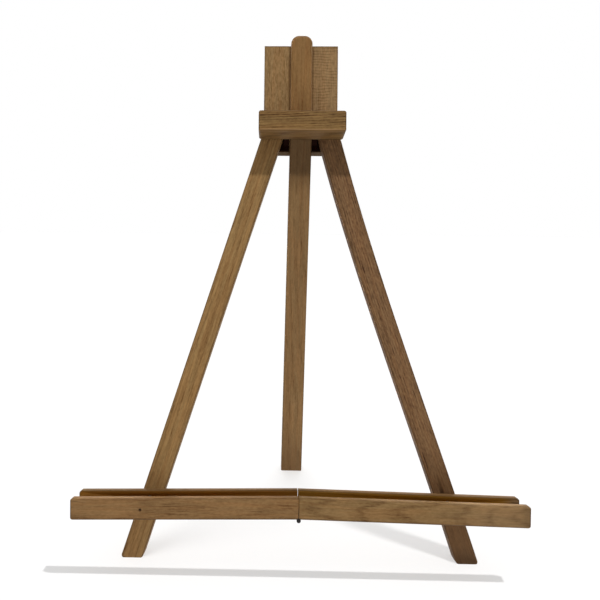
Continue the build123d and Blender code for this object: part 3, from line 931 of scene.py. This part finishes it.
def solids_of(node):
    """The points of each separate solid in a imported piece, in the same order each run."""
    shape = merged_shape(node)
    left = dict.fromkeys(shape.verts)
    solids = []
    while left:
        found = [left.popitem()[0]]
        for vertex in found:
            for edge in vertex.link_edges:
                other = edge.other_vert(vertex)
                if other in left:
                    del left[other]
                    found.append(other)
        solids.append([vertex.co.copy() for vertex in found])
    shape.free()
    return solids


def fit_fasteners(name, node, body, slot, tree, outward, metal, **sizes):
    """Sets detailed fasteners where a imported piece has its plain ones, and stands in for it."""
    heads = []
    for points in solids_of(node):
        top = max(point.dot(outward) for point in points)
        rim = [point for point in points if top - point.dot(outward) < face_tolerance]
        heads.append(sum(rim, Vector()) / len(rim))
        sizes["Length"] = top - min(point.dot(outward) for point in points)
    heads.sort(key=lambda point: (round(point.x, place_digits), round(point.z, place_digits)))
    places = bpy.data.meshes.new(f"{name}_places")
    places.from_pydata(heads, [], [])
    aims = places.attributes.new("outward", "FLOAT_VECTOR", "POINT")
    for item in aims.data:
        item.vector = outward
    maker = bpy.data.objects.new(f"{name}_maker", places)
    bpy.context.scene.collection.objects.link(maker)
    modifier = maker.modifiers.new("fasteners", "NODES")
    modifier.node_group = tree
    for socket in tree.interface.items_tree:
        if socket.in_out == "INPUT" and socket.name != "Geometry":
            modifier[socket.identifier] = metal if socket.name == "Metal" else sizes[socket.name]
    evaluated = maker.evaluated_get(bpy.context.evaluated_depsgraph_get())
    mesh = bpy.data.meshes.new_from_object(evaluated)
    mesh.name = name
    bpy.data.objects.remove(maker)
    shape = bmesh.new()
    shape.from_mesh(mesh)
    bmesh.ops.recalc_face_normals(shape, faces=shape.faces)
    shape.to_mesh(mesh)
    shape.free()
    piece = bpy.data.objects.new(name, mesh)
    bpy.context.scene.collection.objects.link(piece)
    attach(piece, body)
    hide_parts(node)
    return piece


cross_screw = build_cross_screw()
hex_bolt = build_hex_bolt()
wood_screw = {
    "Head Top Radius": 0.0028, "Head Foot Radius": 0.0016, "Head Height": 0.0012,
    "Shank Radius": 0.0014, "Recess Depth": 0.0008,
}
pan_screw = {
    "Head Top Radius": 0.0032, "Head Foot Radius": 0.004, "Head Height": 0.0028,
    "Shank Radius": 0.00225, "Recess Depth": 0.0013,
}
bolt = {"Head Radius": 0.0058, "Head Height": 0.004, "Shank Radius": 0.003}
fasteners = [
    fit_fasteners(
        "panel_cross_screws", "panel_screws", "head", "steel", cross_screw, backward, steel,
        Seed=4, **wood_screw,
    ),
    fit_fasteners(
        "pivot_hex_bolts", "pivot_bolts", "head", "steel", hex_bolt, backward, steel, Seed=9, **bolt,
    ),
    fit_fasteners(
        "left_tray_pan_screw", "left_tray_screw", "left_leg", "steel", cross_screw, forward, steel,
        Seed=2, **pan_screw,
    ),
    fit_fasteners(
        "right_tray_pan_screw", "right_tray_screw", "right_tray", "steel", cross_screw, forward, steel,
        Seed=6, **pan_screw,
    ),
]
for side_name in ("left", "right"):
    fasteners.append(
        fit_fasteners(
            f"{side_name}_leaf_cross_screws", f"tray_hinge_{side_name}_screws", f"{side_name}_tray",
            "hinge_black", cross_screw, -tray_up[side_name], hinge_black, Seed=3, **wood_screw,
        )
    )


# Floor, white surround, lamps and camera

def seen_directly(tree):
    """1 for what the camera sees, also by reflection or through glass."""
    path = tree.nodes.new("ShaderNodeLightPath").outputs
    seen = calc(tree, "MAXIMUM", path["Is Camera Ray"], path["Is Glossy Ray"])
    return calc(tree, "MAXIMUM", seen, path["Is Transmission Ray"])


def add_floor():
    """A pale floor that keeps the shadow and reads as white paper to the camera."""
    low, high = -floor_reach, floor_reach
    corners = [(low, low, 0), (high, low, 0), (high, high, 0), (low, high, 0)]
    mesh = bpy.data.meshes.new("floor")
    mesh.from_pydata(corners, [], [(0, 1, 2, 3)])
    floor = bpy.data.objects.new("floor", mesh)
    bpy.context.scene.collection.objects.link(floor)
    material = bpy.data.materials.new("pale_floor")
    material.use_nodes = True
    tree = material.node_tree
    tree.nodes.remove(tree.nodes["Principled BSDF"])
    matt = tree.nodes.new("ShaderNodeBsdfDiffuse")
    matt.inputs["Color"].default_value = (floor_shade, floor_shade, floor_shade, 1)
    glow = tree.nodes.new("ShaderNodeEmission")
    tree.links.new(calc(tree, "MULTIPLY", seen_directly(tree), floor_glow), glow.inputs["Strength"])
    both = tree.nodes.new("ShaderNodeAddShader")
    tree.links.new(matt.outputs[0], both.inputs[0])
    tree.links.new(glow.outputs[0], both.inputs[1])
    tree.links.new(both.outputs[0], tree.nodes["Material Output"].inputs["Surface"])
    mesh.materials.append(material)
    return floor


def add_surround():
    """Even light from all round, seen as plain white."""
    world = bpy.data.worlds.new("white_surround")
    bpy.context.scene.world = world
    world.use_nodes = True
    tree = world.node_tree
    background = tree.nodes["Background"]
    background.inputs["Color"].default_value = (1, 1, 1, 1)
    extra = calc(tree, "MULTIPLY", seen_directly(tree), 1 - surround_light)
    tree.links.new(calc(tree, "ADD", extra, surround_light), background.inputs["Strength"])


def add_lamp(name, toward, strength, spread, lit, shading):
    """A distant lamp that lights some pieces and is shaded by some. Its spread is in degrees."""
    lamp = bpy.data.lights.new(name, "SUN")
    lamp.energy = strength
    lamp.angle = radians(spread)
    lamp_object = bpy.data.objects.new(name, lamp)
    lamp_object.rotation_euler = Vector(toward).to_track_quat("Z", "Y").to_euler()
    bpy.context.scene.collection.objects.link(lamp_object)
    for label, pieces in (("receiver_collection", lit), ("blocker_collection", shading)):
        collection = bpy.data.collections.new(f"{name}_{label}")
        for piece in pieces:
            collection.objects.link(piece)
        setattr(lamp_object.light_linking, label, collection)


def add_camera():
    """The photograph's view: a near camera, looking slightly down."""
    camera = bpy.data.cameras.new("camera")
    camera.sensor_width = camera_sensor
    camera.lens = camera_lens
    camera.shift_x = camera_shift
    camera_object = bpy.data.objects.new("camera", camera)
    camera_object.location = camera_place
    turn = Matrix.Rotation(-camera_yaw, 3, "Z")
    turn = turn @ Matrix.Rotation(radians(90) - camera_pitch, 3, "X")
    turn = turn @ Matrix.Rotation(camera_roll, 3, "Z")
    camera_object.rotation_euler = turn.to_euler()
    bpy.context.scene.collection.objects.link(camera_object)
    bpy.context.scene.camera = camera_object


floor_reach = 4.0
floor_shade = 0.66
floor_glow = 0.06
surround_light = 0.4
camera_place = (-0.0323, -0.7743, 0.4340)
camera_sensor = 36.0
camera_lens = 38.21
camera_shift = 0.0688
camera_pitch = radians(10.979)
camera_yaw = radians(-1.194)
camera_roll = radians(0.452)
front_lamp_rise = 2.2
rear_lamp_rise = 1.1
leg_lamp_side = 0.6
front_spread = 2.5
rim_spread = 10.0

# Hidden pieces throw no shadow, so the lists name the pieces that stand in for them
rear_pieces = [nodes[name] for name in ("rear_leg", "leg_hinge_leaf", "leg_hinge_screws")]
leg_pieces = [nodes["left_leg"], bowed_leg]
tray_pieces = [node for name, node in nodes.items() if "tray" in name or "lip" in name]
upper_pieces = [node for node in nodes.values() if node not in tray_pieces] + [bowed_leg]
head_pieces = [node for node in upper_pieces if node not in rear_pieces + leg_pieces]
all_pieces = list(nodes.values()) + [bowed_leg] + fasteners + front_lips + channel_boards

floor = add_floor()
add_surround()
add_lamp(
    "front_lamp", toward=(0, -1, front_lamp_rise), strength=2.2, spread=front_spread,
    lit=head_pieces + front_lips + fasteners, shading=upper_pieces,
)
for leg, side in zip(leg_pieces, (1, -1)):
    add_lamp(
        f"{leg.name}_lamp", toward=(side * leg_lamp_side, -1, front_lamp_rise),
        strength=2.3, spread=front_spread, lit=[leg], shading=upper_pieces,
    )
add_lamp(
    "rear_lamp", toward=(0, -1, rear_lamp_rise), strength=2.25, spread=front_spread,
    lit=rear_pieces, shading=upper_pieces,
)
add_lamp(
    "top_lamp", toward=(-0.05, 0.07, 1), strength=0.75, spread=7.0,
    lit=all_pieces, shading=upper_pieces + front_lips,
)

# Three lamps on the floor alone: the tray's band, the right leg's streak, and the other two feet
add_lamp(
    "band_lamp", toward=(0.4, 0.08, 1), strength=1.75, spread=1.6,
    lit=[floor], shading=front_lips,
)
add_lamp(
    "streak_lamp", toward=(-0.05, 0.03, 1), strength=1.1, spread=3.0,
    lit=[floor], shading=leg_pieces[1:],
)
add_lamp(
    "foot_lamp", toward=(0, 0, 1), strength=0.75, spread=18.0,
    lit=[floor], shading=leg_pieces[:1] + rear_pieces,
)

# Softer light on the back and the sides
add_lamp(
    "back_lamp", toward=(0, 1, 0.8), strength=1.5, spread=rim_spread,
    lit=all_pieces, shading=all_pieces,
)
for side in (1, -1):
    add_lamp(
        f"side_lamp_{side}", toward=(side, 0.4, 0.5), strength=0.8, spread=rim_spread,
        lit=all_pieces, shading=all_pieces,
    )
add_camera()

scene = bpy.context.scene
scene.view_settings.view_transform = "Standard"
